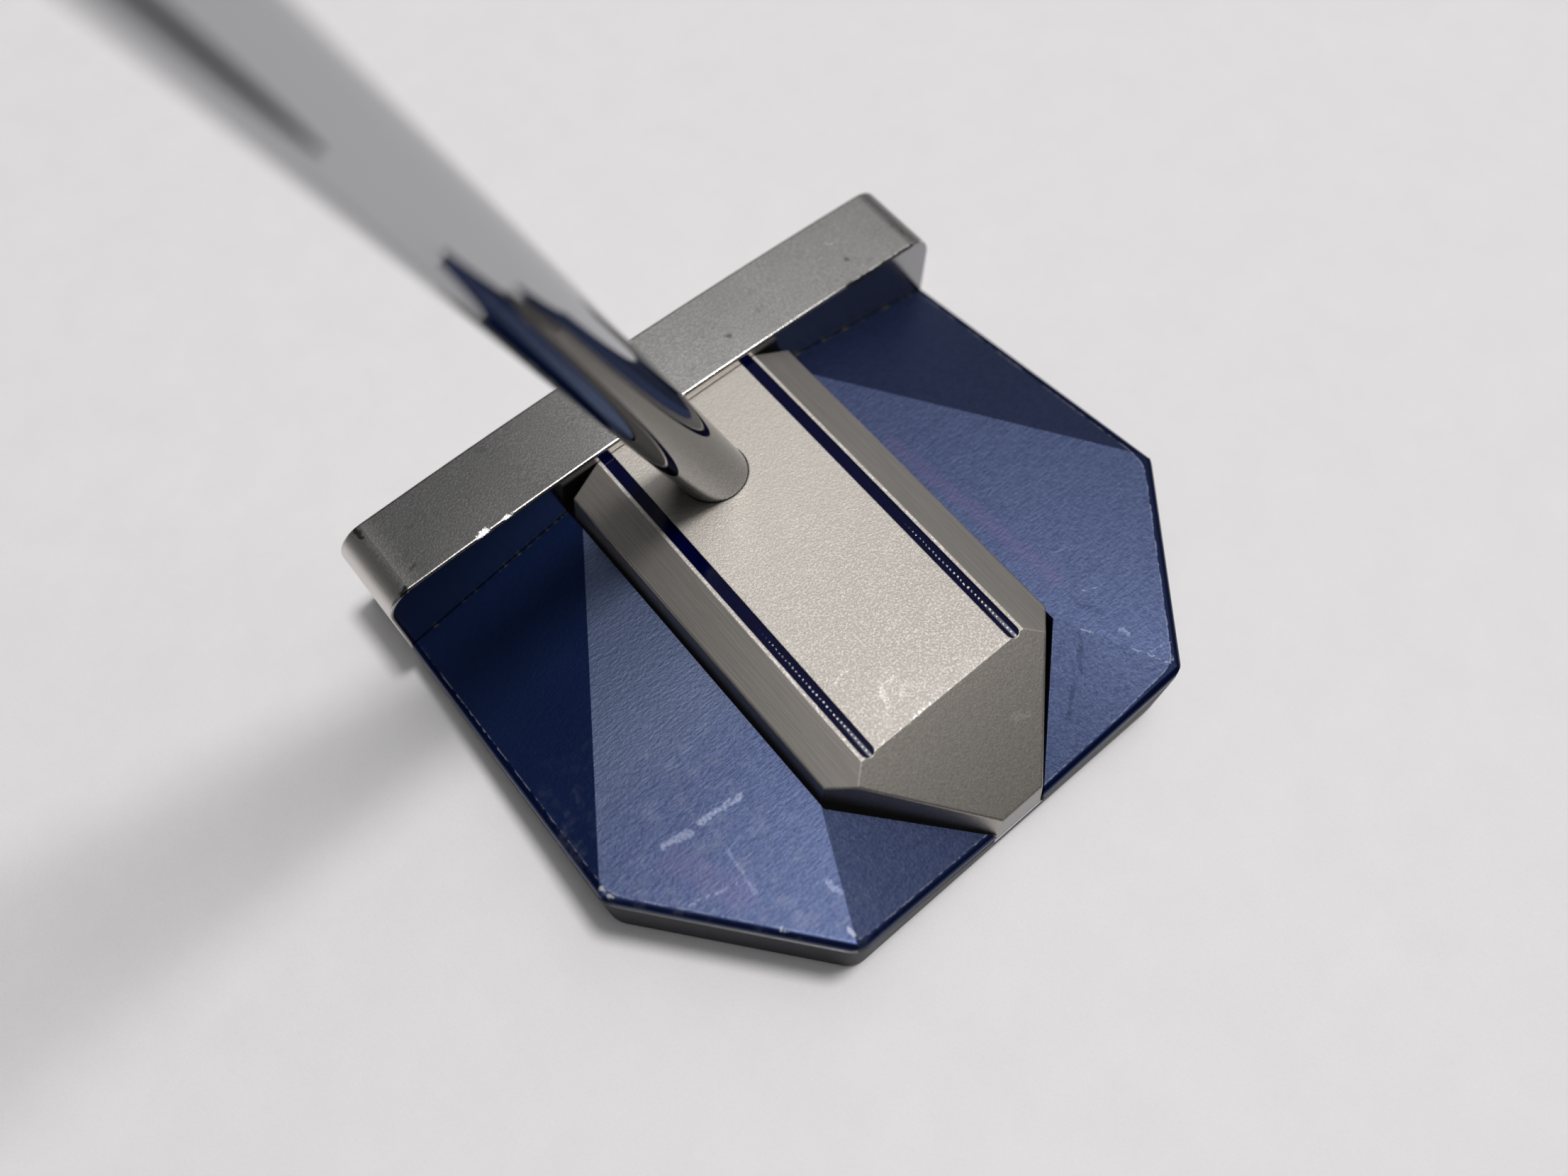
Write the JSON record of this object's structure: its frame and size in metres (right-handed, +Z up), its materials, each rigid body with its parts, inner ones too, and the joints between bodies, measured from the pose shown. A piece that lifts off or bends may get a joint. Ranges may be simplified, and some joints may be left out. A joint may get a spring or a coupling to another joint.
{
  "type": "mallet putter",
  "caption": "Centre-shafted mallet putter with a crowned steel face bar, faceted blue wings and a long centre spine carrying painted sight lines.",
  "frame": {"origin": "middle of the flat sole, on the ground plane, half-way between the top edge of the face and the rear edge, on the head's centre line", "axes": "+Z up from the ground, -Y the way the face looks (the target line), +X towards the heel, the side the shaft leans to"},
  "size_m": [0.3599, 0.0886, 0.8401],
  "materials": {
    "bar_steel": "bead-blasted satin stainless steel, crowned top, brushed rear wall",
    "spine_metal": "bead-blasted top with brushed shoulders, warm grey",
    "base_metal": "satin grey, vertically brushed sides",
    "wing_blue": "fine-textured blue anodising, silver where worn",
    "insert_metal": "milled face insert with fine grooves",
    "bond": "thin elastic bonding film",
    "navy_paint": "glossy enamel paint fill",
    "shaft_chrome": "mirror chrome plate on stepped steel tube",
    "epoxy": "dark shafting epoxy",
    "plug": "moulded plug",
    "grip_rubber": "fine-ribbed matt black rubber",
    "grip_tape": "double-sided paper tape",
    "cap_rubber": "smooth rubber",
    "screw_steel": "stainless fasteners",
    "weight_steel": "turned steel",
    "seal_rubber": "black rubber"
  },
  "bodies": {
    "root": {"face_bar": "bar_steel", "face_insert": "insert_metal", "insert_bond": "bond", "base_pan": "base_metal", "heel_wing": "wing_blue", "toe_wing": "wing_blue", "spine": "spine_metal", "heel_sight_line": "navy_paint", "toe_sight_line": "navy_paint", "shaft": "shaft_chrome", "shaft_epoxy": "epoxy", "shaft_tip_plug": "plug", "grip": "grip_rubber", "grip_tape": "grip_tape", "grip_end_cap": "cap_rubber", "bar_screws": "screw_steel", "bar_dowels": "screw_steel", "spine_screws": "screw_steel", "spine_dowels": "screw_steel", "heel_wing_screws": "screw_steel", "toe_wing_screws": "screw_steel", "heel_weight": "weight_steel", "toe_weight": "weight_steel", "weight_seals": "seal_rubber"}
  },
  "joints": []
}
